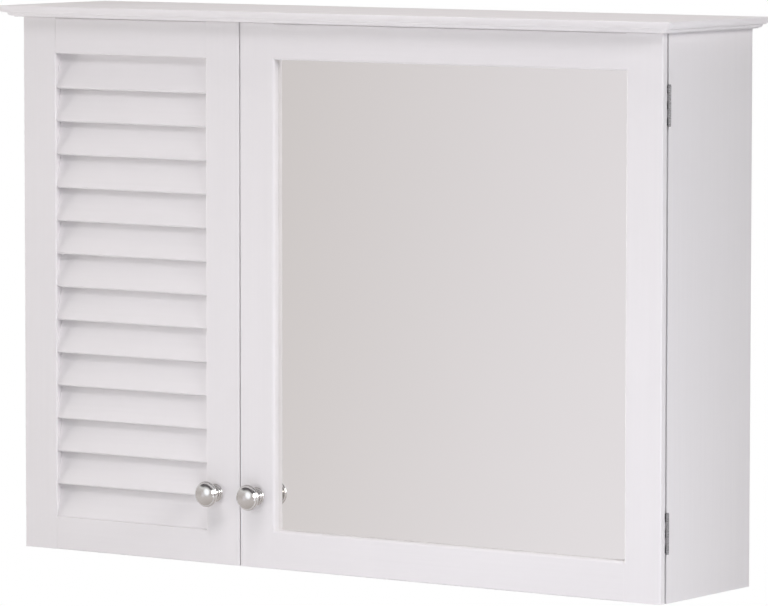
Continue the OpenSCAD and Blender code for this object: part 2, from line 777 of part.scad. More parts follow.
module knob_screw() {
    translate([0, 0, -door_t - knob_screw_head_h])
        cylinder(r = knob_screw_head_r, h = knob_screw_head_h);
    translate([0, 0, -door_t])
        cylinder(r = knob_screw_r, h = door_t + knob_thread_d - knob_thread_gap);
}

module knob_screw_hole() translate([0, 0, -door_t - past])
    cylinder(r = knob_screw_r + fit_gap, h = door_t + 2 * past);

// Half section of the turned knob as (radius, height), from the door face out
module knob_section() {
    base_r = knob_base_d / 2;
    neck_r = knob_neck_d / 2;
    bead_x = knob_head_d / 2 - knob_bead_r;
    head_z = knob_rim_h - 2 * knob_bead_r;
    flare_r = bead_x - neck_r;
    dome_r = knob_head_d / 2 - knob_dome_in;
    ball_r = (dome_r * dome_r + knob_dome_h * knob_dome_h) / (2 * knob_dome_h);
    square([base_r - knob_base_h / 2, knob_base_h]);
    translate([base_r - knob_base_h / 2, knob_base_h / 2]) circle(knob_base_h / 2);
    square([base_r - knob_ring_in, knob_base_h + knob_ring_h]);
    square([neck_r, head_z]);
    difference() {
        translate([0, head_z - flare_r]) square([bead_x, flare_r + knob_bead_r]);
        translate([bead_x, head_z - flare_r]) circle(flare_r);
    }
    translate([0, head_z]) square([bead_x, 2 * knob_bead_r]);
    translate([bead_x, knob_rim_h - knob_bead_r]) circle(knob_bead_r);
    intersection() {
        translate([0, knob_rim_h + knob_dome_h - ball_r]) circle(ball_r);
        translate([0, knob_rim_h - knob_bead_r]) square([dome_r, knob_dome_h + knob_bead_r]);
    }
}

module knob() color(chrome) difference() {
    rotate_extrude() knob_section();
    translate([0, 0, -past]) cylinder(r = knob_screw_r + fit_gap, h = knob_thread_d + past);
}

// Strike plate on the thick part's back, beside the meeting edge
module strike_place(door_w)
    translate([door_w - latch_inset - strike_in - strike_w / 2, door_t, catch_z]) children();

module at_strike_screws() for (end = [-1, 1])
    translate([0, strike_t, end * strike_screw_dz]) rotate([-90, 0, 0]) children();

module strike_plate(door_w) color(steel) strike_place(door_w) difference() {
    translate([-strike_w / 2, 0, -strike_h / 2]) cube([strike_w, strike_t, strike_h]);
    at_strike_screws() strike_screw_space();
}

module strike_screw() wood_screw(small_screw_r, small_head_r, strike_t, strike_screw_l);
module strike_screw_space() screw_space(small_screw_r, small_head_r, strike_t, strike_screw_l);

module louvre_stile_hinge() color(white) difference() {
    on_louvre_door() difference() {
        stile(louvre_stile_w, hinge_inset, louvre_z0, louvre_z1, louvre_frame_r);
        louvre_stile_cuts();
    }
    door_leaf_screw_spaces("louvre");
}

module louvre_stile_latch() color(white) on_louvre_door() difference() {
    translate([louvre_door_w, 0, 0]) mirror([1, 0, 0])
        stile(louvre_stile_w, latch_inset, louvre_z0, louvre_z1, louvre_frame_r);
    louvre_stile_cuts();
    at_knob(louvre_door_w, louvre_knob_in) knob_screw_hole();
    strike_place(louvre_door_w) at_strike_screws() strike_screw_space();
}

module louvre_rail_bottom() color(white) on_louvre_door()
    bottom_rail(louvre_door_w, louvre_stile_w, louvre_bottom_rail_h, louvre_frame_r);
module louvre_rail_top() color(white) on_louvre_door()
    top_rail(louvre_door_w, louvre_stile_w, louvre_top_rail_h, louvre_frame_r);
module louvre_knob() on_louvre_door() at_knob(louvre_door_w, louvre_knob_in) knob();
module louvre_strike() on_louvre_door() strike_plate(louvre_door_w);

module louvre_door_screws() color(steel) {
    door_leaf_screws("louvre");
    on_louvre_door() {
        strike_place(louvre_door_w) at_strike_screws() strike_screw();
        at_knob(louvre_door_w, louvre_knob_in) knob_screw();
    }
}

// Pocket for the glass and its backing, cut into the frame from behind
module glass_pocket() translate([glass_x0 - pocket_gap, glass_set_back, glass_z0 - pocket_gap])
    cube([glass_w + 2 * pocket_gap, door_t, glass_h + 2 * pocket_gap]);

module mirror_glass() color("#d5d6d8") on_mirror_door()
    translate([glass_x0, glass_set_back + fit_gap, glass_z0]) cube([glass_w, glass_t, glass_h]);

module mirror_backing() color(back_white) on_mirror_door()
    translate([glass_x0, backing_y, glass_z0]) cube([glass_w, backing_t, glass_h]);

// Clips drawn with the pocket's edge at y = 0, reaching over the backing along +Y
module at_clips() {
    edge_x0 = glass_x0 - pocket_gap;
    edge_x1 = mirror_door_w - edge_x0;
    edge_z0 = glass_z0 - pocket_gap;
    edge_z1 = glass_z0 + glass_h + pocket_gap;
    for (share = clip_shares_x) {
        x = edge_x0 + (edge_x1 - edge_x0) * share;
        translate([x, door_t, edge_z0]) rotate([90, 0, 180]) children();
        translate([x, door_t, edge_z1]) rotate([-90, 0, 0]) children();
    }
    for (share = clip_shares_z) {
        z = edge_z0 + (edge_z1 - edge_z0) * share;
        translate([edge_x0, door_t, z]) rotate([-90, -90, 0]) children();
        translate([edge_x1, door_t, z]) rotate([-90, 90, 0]) children();
    }
}

module at_clip_screw() translate([0, -clip_on_frame + clip_screw_in, clip_t]) children();

module clip() difference() {
    translate([-clip_w / 2, -clip_on_frame, 0]) cube([clip_w, clip_l, clip_t]);
    at_clip_screw() small_screw_space(clip_screw_l);
}

module mirror_clips() color(steel) on_mirror_door() at_clips() clip();
module clip_screw_spaces() at_clips() at_clip_screw() small_screw_space(clip_screw_l);

module mirror_frame_cuts() {
    mortises(mirror_door_w, mirror_stile_w, mirror_bottom_rail_h, mirror_top_rail_h);
    glass_pocket();
    clip_screw_spaces();
}

module mirror_rail_cuts() {
    glass_pocket();
    clip_screw_spaces();
}

module mirror_stile_hinge() color(white) difference() {
    on_mirror_door() difference() {
        stile(mirror_stile_w, hinge_inset, mirror_z0, mirror_z1, mirror_frame_r);
        mirror_frame_cuts();
    }
    door_leaf_screw_spaces("mirror");
}

module mirror_stile_latch() color(white) on_mirror_door() difference() {
    translate([mirror_door_w, 0, 0]) mirror([1, 0, 0])
        stile(mirror_stile_w, latch_inset, mirror_z0, mirror_z1, mirror_frame_r);
    mirror_frame_cuts();
    at_knob(mirror_door_w, mirror_knob_in) knob_screw_hole();
    strike_place(mirror_door_w) at_strike_screws() strike_screw_space();
}

module mirror_rail_bottom() color(white) on_mirror_door() difference() {
    bottom_rail(mirror_door_w, mirror_stile_w, mirror_bottom_rail_h, mirror_frame_r);
    mirror_rail_cuts();
}

module mirror_rail_top() color(white) on_mirror_door() difference() {
    top_rail(mirror_door_w, mirror_stile_w, mirror_top_rail_h, mirror_frame_r);
    mirror_rail_cuts();
}

module mirror_knob() on_mirror_door() at_knob(mirror_door_w, mirror_knob_in) knob();
module mirror_strike() on_mirror_door() strike_plate(mirror_door_w);

module mirror_door_screws() color(steel) {
    door_leaf_screws("mirror");
    on_mirror_door() {
        strike_place(mirror_door_w) at_strike_screws() strike_screw();
        at_knob(mirror_door_w, mirror_knob_in) knob_screw();
        at_clips() at_clip_screw() small_screw(clip_screw_l);
    }
}

side_left();
side_right();
bottom_panel();
top_panel();
centre_partition();
back_panel();
crown_top();
hanging_rail();
shelf(-inner_half_w, partition_x0, shelf_low_z);  // shelf_left_lower
shelf(-inner_half_w, partition_x0, shelf_high_z);  // shelf_left_upper
shelf(partition_x1, inner_half_w, shelf_low_z);  // shelf_right_lower
shelf(partition_x1, inner_half_w, shelf_high_z);  // shelf_right_upper
shelf_pins();
cam_fittings();
carcass_screws();
catch_louvre();
catch_mirror();
catch_magnets();
door_bumpers();
hinge_pins();
hinge_screws();
for (door = door_names) for (level = hinge_names) {
    at_hinge(door, level) fixed_leaf();
    at_hinge(door, level) door_leaf();
}
louvre_stile_hinge();
louvre_stile_latch();
louvre_rail_bottom();
louvre_rail_top();
for (n = [1 : slat_count])
    slat(n);
louvre_knob();
louvre_strike();
louvre_door_screws();
mirror_stile_hinge();
mirror_stile_latch();
mirror_rail_bottom();
mirror_rail_top();
mirror_glass();
mirror_backing();
mirror_clips();
mirror_knob();
mirror_strike();
mirror_door_screws();
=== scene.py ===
"""A white wall-hung bathroom cabinet with a louvred door and a mirror door, dressed and lit."""

import math

import bpy
import bmesh
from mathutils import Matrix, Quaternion, Vector


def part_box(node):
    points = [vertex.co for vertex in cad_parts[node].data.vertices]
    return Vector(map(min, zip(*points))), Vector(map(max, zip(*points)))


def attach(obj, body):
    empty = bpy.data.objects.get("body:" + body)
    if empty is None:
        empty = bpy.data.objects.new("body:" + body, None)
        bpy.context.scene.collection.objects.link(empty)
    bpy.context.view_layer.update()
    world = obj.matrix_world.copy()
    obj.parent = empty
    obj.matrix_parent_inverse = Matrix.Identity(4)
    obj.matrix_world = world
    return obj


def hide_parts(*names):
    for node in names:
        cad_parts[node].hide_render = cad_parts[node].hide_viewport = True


bl_info = {
    "name": "Bathroom Mirror Cabinet",
    "version": (1, 0, 0),
    "blender": (4, 5, 0),
    "location": "3D View > Sidebar > Cabinet",
    "description": "Dresses a louvred and mirrored bathroom cabinet and sets its studio",
    "category": "Object",
}

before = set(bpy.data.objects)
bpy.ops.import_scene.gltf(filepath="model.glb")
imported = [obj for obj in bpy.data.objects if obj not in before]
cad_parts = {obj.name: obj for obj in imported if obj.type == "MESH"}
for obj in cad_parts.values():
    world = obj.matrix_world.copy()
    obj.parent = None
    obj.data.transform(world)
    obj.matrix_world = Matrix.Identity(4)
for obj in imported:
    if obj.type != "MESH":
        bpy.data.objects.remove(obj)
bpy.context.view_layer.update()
MM = 0.001

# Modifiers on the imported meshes
WELD_GAP = 0.002 * MM
FLAT_ANGLE = math.radians(0.5)
SHARP_ANGLE = math.radians(38)
FACE_WEIGHT = 60

# Rounds on the edges of small parts
GLASS_ROUND = 0.3 * MM
SHEET_ROUND = 0.2 * MM
PLATE_ROUND = 0.15 * MM
LEAF_ROUND = 0.12 * MM
CATCH_ROUND = 0.5 * MM
MAGNET_ROUND = 0.2 * MM

# Surfaces: heights of the relief, fine brush marks, depth of the bare side, and how light bends
PAINT_RELIEF = 0.12 * MM
FACING_RELIEF = 0.06 * MM
FIBRE_RELIEF = 0.09 * MM
GLASS_RELIEF = 0.02 * MM
CHROME_RELIEF = 0.004 * MM
STEEL_RELIEF = 0.01 * MM
PLASTIC_RELIEF = 0.05 * MM
FINE_MARK_WIDTH = 0.7 * MM
FINE_MARK_LENGTH = 60 * MM
BARE_DEPTH = 0.5 * MM
PAINT_IOR = 1.47
FACING_IOR = 1.5
FIBRE_IOR = 1.45
PLASTIC_IOR = 1.49

# Turned knobs
TURN_STEPS = 96
ON_AXIS = 0.01 * MM
GROOVE_LEAN = 0.4

# Floor: corners round its rim, and its fade into white as shares of its radius and glow
FLOOR_STEPS = 128
FADE_START = 0.35
FADE_END = 0.98
LEAST_GLOW = 0.55

# Lamps
MIDDLE = (0.0, -0.1, 0.25)
PLAIN_WHITE = (1.0, 1.0, 1.0)

# What shiny parts see: the wall from the floor to the ceiling, and the lights and shades on it
WHITE = (1.0, 1.0, 1.0, 1.0)
WALL_STOPS = [
    (0.0, (0.553, 0.516, 0.498, 1)),
    (0.36, (0.70, 0.664, 0.655, 1)),
    (0.50, (0.608, 0.572, 0.562, 1)),
    (0.62, (0.682, 0.655, 0.645, 1)),
    (1.0, (0.738, 0.719, 0.71, 1)),
]
WALL_GLOW = (1.30, 1.33, 1.40)
SHADE_ABOVE = (0.157, 0.148, 0.157, 1)
STUDIO_GLOW = (1.475, 1.53, 1.61, 1)
STUDIO_WAY = (0.02, -0.973, 0.229)

LOUVRE_DOOR = "louvre_door"
MIRROR_DOOR = "mirror_door"

SIDES = ["side_left", "side_right"]
LEVEL_BOARDS = ["bottom_panel", "top_panel"]
INSIDE_BOARDS = ["centre_partition", "hanging_rail", "shelf_left_lower", "shelf_left_upper",
                 "shelf_right_lower", "shelf_right_upper"]
STILES = ["louvre_stile_hinge", "louvre_stile_latch", "mirror_stile_hinge", "mirror_stile_latch"]
RAILS = ["louvre_rail_bottom", "louvre_rail_top", "mirror_rail_bottom", "mirror_rail_top"]
SLATS = sorted(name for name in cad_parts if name.startswith("slat_"))
LEAVES = sorted(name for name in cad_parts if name.endswith("_leaf"))
SCREWS = ["carcass_screws", "hinge_screws", "louvre_door_screws", "mirror_door_screws"]
CLEAR_PARTS = ["shelf_pins", "door_bumpers"]
CATCHES = ["catch_louvre", "catch_mirror"]
KNOBS = {"louvre_knob": LOUVRE_DOOR, "mirror_knob": MIRROR_DOOR}


def shade_of(red, green, blue):
    """A colour written as on a paint chart, from 0 to 255, as linear light."""
    steps = [value / 255 for value in (red, green, blue)]
    curve = [s / 12.92 if s <= 0.04045 else ((s + 0.055) / 1.055) ** 2.4 for s in steps]
    return (*curve, 1.0)


def toned(tone, share):
    """A colour with its light scaled by a share."""
    return (tone[0] * share, tone[1] * share, tone[2] * share, 1.0)


def grey(level):
    """A plain grey of a level."""
    return (level, level, level, 1.0)


def colour(name, description, value):
    """A colour property with its name, description and default."""
    return bpy.props.FloatVectorProperty(
        name=name, description=description, subtype="COLOR", size=4, min=0, max=1, default=value)


def length(name, description, value):
    """A length property in metres."""
    return bpy.props.FloatProperty(
        name=name, description=description, unit="LENGTH", subtype="DISTANCE", min=0,
        precision=5, default=value)


def brightness(name, description, value):
    """A brightness property, where 1 is white."""
    return bpy.props.FloatProperty(
        name=name, description=description, min=0, max=10, default=value)


def power(name, description, value):
    """A lamp's power in watts."""
    return bpy.props.FloatProperty(
        name=name, description=description, unit="POWER", min=0, default=value)


def angle(name, description, degrees):
    """An angle property."""
    return bpy.props.FloatProperty(
        name=name, description=description, subtype="ANGLE", unit="ROTATION",
        default=math.radians(degrees))


def place(name, description, value):
    """A point or direction in the cabinet's frame, in metres."""
    return bpy.props.FloatVectorProperty(
        name=name, description=description, subtype="XYZ", unit="LENGTH", size=3, default=value)


class CabinetPaint(bpy.types.PropertyGroup):
    """Colours and brush marks of the painted and faced boards."""

    door_colour: colour("Door paint", "Satin white of the door frames", shade_of(229, 226, 227))
    slat_colour: colour("Slat paint", "Satin white of the slats", shade_of(229, 226, 227))
    board_colour: colour("Board paint", "Satin white of the sides, top and bottom",
                         shade_of(229, 226, 227))
    crown_colour: colour("Crown paint", "Satin white of the crown", shade_of(234, 231, 232))
    inside_colour: colour("Inside facing", "White facing of the inside", shade_of(226, 224, 222))
    back_colour: colour("Back sheet", "Bare fibre face of the back sheet",
                        shade_of(150, 116, 82))
    streak_width: length("Brush mark width", "Width of a brush mark", 3.2 * MM)
    streak_length: length("Brush mark length", "Length of a brush mark", 140 * MM)
    edge_round: length("Board edge round", "Round on the boards' edges", 0.5 * MM)
    joint_round: length("Joint round", "Small round on the edges of stiles and rails", 0.5 * MM)
    slat_round: length("Slat round", "Small round on the edges of slats and crown", 0.25 * MM)


class CabinetMetal(bpy.types.PropertyGroup):
    """Colours of the metal, glass and plastic parts."""

    chrome_colour: colour("Chrome", "Polished plate of the knobs", shade_of(222, 220, 218))
    steel_colour: colour("Nickel", "Plated steel of the screws, clips and fittings",
                         shade_of(168, 167, 167))
    hinge_colour: colour("Hinge plate", "Darker plate of the hinge leaves and pins",
                         shade_of(151, 150, 151))
    magnet_colour: colour("Magnet", "Dark magnets in the catches", shade_of(88, 86, 86))
    silver_colour: colour("Silvering", "Silvered back of the mirror glass",
                          shade_of(245, 244, 242))
    clear_colour: colour("Clear plastic", "Shelf pins and bumpers", shade_of(228, 230, 230))
    catch_colour: colour("Catch plastic", "Moulded catch bodies", shade_of(232, 231, 229))


class CabinetKnob(bpy.types.PropertyGroup):
    """Sizes of a turned knob, from the door's face outwards."""

    base_diameter: length("Base diameter", "Flange against the door", 17 * MM)
    base_height: length("Base height", "Thickness of the flange", 2.2 * MM)
    ring_diameter: length("Ring diameter", "Raised ring on the flange", 13.2 * MM)
    ring_height: length("Ring height", "Thickness of the raised ring", 1.3 * MM)
    neck_diameter: length("Neck diameter", "Slimmest part behind the head", 9.5 * MM)
    bead_radius: length("Bead radius", "Round of the head's rim", 1.4 * MM)
    groove_depth: length("Groove depth", "Groove between the rim and the dome", 0.35 * MM)
    dome_height: length("Dome height", "Rise of the dome above the rim", 6.2 * MM)
    dome_inset: length("Dome inset", "Distance of the dome's foot in from the rim", 1.0 * MM)


class CabinetStage(bpy.types.PropertyGroup):
    """Camera, lamps, floor and surroundings."""

    view_aim: place("Aim", "Point in the middle of the picture", (0.0063, -0.0743, 0.24338))
    view_distance: length("Distance", "From the aim to the camera", 5.23453)
    view_azimuth: angle("Azimuth", "Turn of the camera to the right of the front", 34.787)
    view_elevation: angle("Elevation", "Height of the camera above the horizon", 4.891)
    view_roll: angle("Roll", "Turn of the camera about its line of sight", 0.047)
    view_lens: bpy.props.FloatProperty(
        name="Lens", description="Focal length", subtype="DISTANCE_CAMERA", default=267.255)
    floor_drop: length("Floor drop", "Depth of the floor under the cabinet", 0.6)
    floor_radius: length("Floor radius", "Reach of the floor round the cabinet", 3.2)
    floor_colour: colour("Floor", "Pale plain floor", shade_of(246, 245, 246))
    sky_colour: colour("Surround from above", "Even light from above", (0.1, 0.1, 0.1, 1))
    side_colour: colour("Surround from the sides", "Even light from the sides",
                        (0.05, 0.05, 0.05, 1))
    ground_colour: colour("Surround from below", "Even light from below", (0.0, 0.0, 0.0, 1))
    front_power: power("Front lamp", "Power of the lamp straight in front", 3.6)
    near_power: power("Near lamp", "Power of the lamp close in front and low down", 0.51)
    right_power: power("Right lamp", "Power of the lamp far to the right and high up", 43)
    left_power: power("Left lamp", "Power of the lamp far to the left", 68)
    high_power: power("High lamp", "Power of the lamp high in front", 14.8)
    top_power: power("Top lamp", "Power of the lamp above the cabinet", 8.7)
    strip_power: power("Strip lamp", "Power of the upright strip beside the right side", 0.63)
    edge_power: power("Edge lamp", "Power of the short strip beside the right door's edge", 0.11)
    back_power: power("Back lamp", "Power of the lamp behind the cabinet", 50)
    ceiling_level: brightness("Ceiling", "Brightness of the ceiling that shiny parts show", 0.88)
    behind_level: brightness("Behind", "Brightness behind the cabinet that shiny parts show", 0.63)
    window_level: brightness("Window", "Brightness of the window that shiny parts show", 9.5)


class CabinetSettings(bpy.types.PropertyGroup):
    """All the settings of the cabinet."""

    paint: bpy.props.PointerProperty(type=CabinetPaint, name="Paint", description="Paint")
    metal: bpy.props.PointerProperty(type=CabinetMetal, name="Metal", description="Metal")
    knob: bpy.props.PointerProperty(type=CabinetKnob, name="Knob", description="Knob sizes")
    stage: bpy.props.PointerProperty(type=CabinetStage, name="Stage", description="Stage")


def settings():
    """The cabinet's settings on the scene."""
    return bpy.context.scene.cabinet


class Value:
    """A shader socket that Python's operators work on."""

    def __init__(self, nodes, socket):
        self.nodes = nodes
        self.socket = socket

    def maths(self, operation, first, second):
        """The result of one sum on two sockets or numbers."""
        made = self.nodes.node("ShaderNodeMath", {"operation": operation}, {0: first, 1: second})
        return self.nodes.out(made)

    def __add__(self, other):
        return self.maths("ADD", self, other)

    def __radd__(self, other):
        return self.maths("ADD", other, self)

    def __sub__(self, other):
        return self.maths("SUBTRACT", self, other)

    def __rsub__(self, other):
        return self.maths("SUBTRACT", other, self)

    def __mul__(self, other):
        return self.maths("MULTIPLY", self, other)

    def __rmul__(self, other):
        return self.maths("MULTIPLY", other, self)

    def __gt__(self, other):
        return self.maths("GREATER_THAN", self, other)

    def greatest(self, other):
        """The greater of this socket and another."""
        return self.maths("MAXIMUM", self, other)


class Nodes:
    """The node tree of one material or world, with every node made in one way."""

    def __init__(self, tree):
        self.tree = tree
        tree.nodes.clear()

    def node(self, kind, options=None, sockets=None):
        """Makes a node, sets its options, and then sets or links its sockets."""
        made = self.tree.nodes.new(kind)
        for name, value in (options or {}).items():
            if name == "stops":
                self.set_stops(made.color_ramp, value)
            else:
                setattr(made, name, value)
        for name, value in (sockets or {}).items():
            if isinstance(value, Value):
                self.tree.links.new(value.socket, made.inputs[name])
            else:
                made.inputs[name].default_value = value
        return made

    def set_stops(self, ramp, stops):
        """Gives a colour ramp one element for each stop."""
        while len(ramp.elements) < len(stops):
            ramp.elements.new(0.5)
        for element, (position, tone) in zip(ramp.elements, stops):
            element.position = position
            element.color = tone

    def out(self, made, name=0):
        """One output of a node, ready for sums and links."""
        return Value(self, made.outputs[name])

    def object_place(self):
        """The point on the piece, in metres from the piece's own origin."""
        return self.out(self.node("ShaderNodeTexCoord"), "Object")

    def stretched(self, point, scale):
        """The point with each axis scaled by its own amount."""
        return self.out(self.node("ShaderNodeVectorMath", {"operation": "MULTIPLY"},
                                  {0: point, 1: scale}))

    def axes(self, point):
        """The three parts of a point."""
        made = self.node("ShaderNodeSeparateXYZ", None, {0: point})
        return [self.out(made, axis) for axis in "XYZ"]

    def noise(self, point, scale, detail=2.0, rough=0.5):
        """Smooth noise from 0 to 1 at a point scaled by the given amounts."""
        made = self.node("ShaderNodeTexNoise", {"noise_dimensions": "3D"},
                         {"Vector": self.stretched(point, scale), "Scale": 1.0,
                          "Detail": detail, "Roughness": rough})
        return self.out(made, "Fac")

    def ramp(self, factor, stops):
        """A colour read from a ramp."""
        return self.out(self.node("ShaderNodeValToRGB", {"stops": stops}, {0: factor}))

    def mixed(self, factor, first, second):
        """A colour between two colours."""
        made = self.node("ShaderNodeMix", {"data_type": "RGBA"}, {0: factor, 6: first, 7: second})
        return self.out(made, 2)

    def span(self, factor, low, high):
        """A number from low to high as the factor goes from 0 to 1."""
        return factor * (high - low) + low

    def soft_step(self, factor, low, high):
        """A number that turns smoothly from 0 at low to 1 at high."""
        return self.out(self.node("ShaderNodeMapRange", {"interpolation_type": "SMOOTHSTEP"},
                                  {"Value": factor, "From Min": low, "From Max": high}))

    def bump(self, height, distance):
        """The normal of a surface whose height of 1 stands for the given distance."""
        return self.out(self.node("ShaderNodeBump", None, {
            "Height": height, "Distance": distance, "Strength": 1.0}))

    def surface(self, shader):
        """Shows a shader as the material's surface."""
        self.node("ShaderNodeOutputMaterial", None, {"Surface": self.out(shader)})

    def principled(self, sockets):
        """Shows a principled shader with the given sockets as the material's surface."""
        self.surface(self.node("ShaderNodeBsdfPrincipled", None, sockets))


def new_material(name):
    """An empty node material and its nodes."""
    made = bpy.data.materials.new(name)
    made.use_nodes = True
    return made, Nodes(made.node_tree)


def even(scale):
    """The same noise scale along every axis."""
    return (scale, scale, scale)


def stretch_along(axis, width, run):
    """Noise scales for marks of a width across and a run along one axis."""
    across, along = 1 / width, 1 / run
    return tuple(along if name == axis else across for name in "XYZ")


def brushed_paint(name, tone, axis):
    """Satin paint with faint brush marks that run along one axis."""
    paint = settings().paint
    made, nodes = new_material(name)
    point = nodes.object_place()
    marks = nodes.noise(point, stretch_along(axis, paint.streak_width, paint.streak_length), 3.0)
    fine = nodes.noise(point, stretch_along(axis, FINE_MARK_WIDTH, FINE_MARK_LENGTH))
    clouds = nodes.noise(point, even(7.0), 1.0)
    peel = nodes.noise(point, even(700.0), 1.0)
    light = nodes.mixed(clouds, toned(tone, 0.985), toned(tone, 1.01))
    dark = nodes.mixed(clouds, toned(tone, 0.955), toned(tone, 0.975))
    relief = marks * 0.6 + fine * 0.3 + peel * 0.1
    nodes.principled({
        "Base Color": nodes.mixed(marks, dark, light),
        "Roughness": nodes.span(fine, 0.36, 0.52),
        "Normal": nodes.bump(relief, PAINT_RELIEF),
        "IOR": PAINT_IOR,
    })
    return made


def faced_board(name, tone):
    """Melamine facing with a soft pebbled surface."""
    made, nodes = new_material(name)
    point = nodes.object_place()
    clouds = nodes.noise(point, even(5.0), 2.0)
    pebbles = nodes.noise(point, even(420.0), 2.0)
    nodes.principled({
        "Base Color": nodes.mixed(clouds, toned(tone, 0.97), toned(tone, 1.0)),
        "Roughness": nodes.span(pebbles, 0.4, 0.56),
        "Normal": nodes.bump(pebbles, FACING_RELIEF),
        "IOR": FACING_IOR,
    })
    return made


def fibre_sheet(name, bare, painted, bare_from):
    """Thin fibre sheet, bare behind the given depth and painted in front of it."""
    made, nodes = new_material(name)
    point = nodes.object_place()
    depth = nodes.axes(point)[1]
    is_bare = depth > bare_from
    fibres = nodes.noise(point, (260.0, 260.0, 900.0), 6.0, 0.7)
    specks = nodes.noise(point, even(1400.0), 3.0, 0.6)
    clouds = nodes.noise(point, even(4.0), 3.0)
    brown = nodes.mixed(fibres, toned(bare, 0.72), toned(bare, 1.16))
    brown = nodes.mixed(clouds, brown, toned(bare, 0.95))
    nodes.principled({
        "Base Color": nodes.mixed(is_bare, painted, brown),
        "Roughness": nodes.span(is_bare, 0.5, 0.78),
        "Normal": nodes.bump(fibres * 0.6 + specks * 0.4, FIBRE_RELIEF),
        "IOR": FIBRE_IOR,
    })
    return made


def silvered_glass(name, tone):
    """Clean mirror with a trace of haze."""
    made, nodes = new_material(name)
    point = nodes.object_place()
    haze = nodes.noise(point, even(11.0), 3.0)
    wave = nodes.noise(point, even(3.0), 1.0)
    nodes.principled({
        "Base Color": nodes.mixed(haze, toned(tone, 0.985), tone),
        "Metallic": 1.0,
        "Roughness": nodes.span(haze, 0.008, 0.022),
        "Normal": nodes.bump(wave, GLASS_RELIEF),
    })
    return made


def polished_chrome(name, tone):
    """Bright plate with fine turning marks and a trace of haze."""
    made, nodes = new_material(name)
    point = nodes.object_place()
    haze = nodes.noise(point, even(180.0), 3.0)
    marks = nodes.noise(point, (300.0, 5200.0, 300.0), 2.0)
    nodes.principled({
        "Base Color": nodes.mixed(haze, toned(tone, 0.94), tone),
        "Metallic": 1.0,
        "Roughness": nodes.span(haze, 0.08, 0.16),
        "Normal": nodes.bump(marks, CHROME_RELIEF),
    })
    return made


def plated_steel(name, tone, roughness):
    """Plated or ground steel with fine scratches, within a range of roughness."""
    made, nodes = new_material(name)
    point = nodes.object_place()
    scratches = nodes.noise(point, (240.0, 240.0, 3600.0), 4.0, 0.6)
    patches = nodes.noise(point, even(90.0), 3.0)
    nodes.principled({
        "Base Color": nodes.mixed(patches, toned(tone, 0.86), tone),
        "Metallic": 1.0,
        "Roughness": nodes.span(scratches, *roughness),
        "Normal": nodes.bump(scratches, STEEL_RELIEF),
    })
    return made


def moulded_plastic(name, tone, roughness, clearness):
    """Moulded plastic with flow marks, from solid at a clearness of 0 to clear at 1."""
    made, nodes = new_material(name)
    point = nodes.object_place()
    flow = nodes.noise(point, even(120.0), 3.0)
    nodes.principled({
        "Base Color": nodes.mixed(flow, toned(tone, 0.93), tone),
        "Roughness": nodes.span(flow, *roughness),
        "Transmission Weight": clearness,
        "Normal": nodes.bump(flow, PLASTIC_RELIEF),
        "IOR": PLASTIC_IOR,
    })
    return made


def dress(names, material, rounding=0.0, steps=2):
    """Gives nodes a material, and a fine round on their hard edges."""
    for name in names:
        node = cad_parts[name]
        node.data.materials.clear()
        node.data.materials.append(material)
        if rounding:
            round_edges(node, rounding, steps)


def round_edges(piece, width, steps):
    """Joins a mesh's facets and rounds its hard edges, as a modifier stack."""
    weld = piece.modifiers.new("join", "WELD")
    weld.merge_threshold = WELD_GAP
    plane = piece.modifiers.new("flats", "DECIMATE")
    plane.decimate_type = "DISSOLVE"
    plane.angle_limit = FLAT_ANGLE
    bevel = piece.modifiers.new("round", "BEVEL")
    bevel.width = width
    bevel.segments = steps
    bevel.limit_method = "ANGLE"
    bevel.angle_limit = SHARP_ANGLE
    bevel.use_clamp_overlap = True
    bevel.miter_outer = "MITER_ARC"
    normals = piece.modifiers.new("shading", "WEIGHTED_NORMAL")
    normals.keep_sharp = False
    normals.weight = FACE_WEIGHT


def arc(centre, radius, start, end, steps):
    """Points along an arc from one angle to another, in degrees."""
    turns = [math.radians(start + (end - start) * i / steps) for i in range(steps + 1)]
    return [(centre[0] + radius * math.cos(t), centre[1] + radius * math.sin(t)) for t in turns]


def oval(centre, half_width, half_height, start, end, steps):
    """Points along an ellipse from one angle to another, in degrees."""
    turns = [math.radians(start + (end - start) * i / steps) for i in range(steps + 1)]
    return [(centre[0] + half_width * math.cos(t), centre[1] + half_height * math.sin(t))
            for t in turns]


def knob_profile(size, head_diameter, height):
    """Outline of a knob as (radius, height) from the door's face to the tip of the dome."""
    base_r = size.base_diameter / 2
    ring_r = size.ring_diameter / 2
    neck_r = size.neck_diameter / 2
    head_r = head_diameter / 2
    bead_r = size.bead_radius
    base_round = size.base_height / 2
    ring_round = size.ring_height / 2
    ring_top = size.base_height + size.ring_height
    rim_z = height - size.dome_height
    bead_x = head_r - bead_r
    head_z = rim_z - 2 * bead_r
    flare_r = bead_x - neck_r
    dome_r = head_r - size.dome_inset
    outline = [(0.0, 0.0)]
    outline += arc((base_r - base_round, base_round), base_round, -90, 90, steps=12)
    outline += [(ring_r - ring_round / 2, size.base_height)]
    outline += arc((ring_r - ring_round, size.base_height + ring_round), ring_round, -30, 90,
                   steps=8)
    outline += [(neck_r, ring_top)]
    outline += arc((bead_x, head_z - flare_r), flare_r, 180, 92, steps=18)
    outline += arc((bead_x, rim_z - bead_r), bead_r, -88, 62, steps=14)
    outline += [(dome_r + size.groove_depth * GROOVE_LEAN, rim_z - size.groove_depth)]
    outline += oval((0.0, rim_z), dome_r, size.dome_height, 4, 90, steps=40)
    return outline


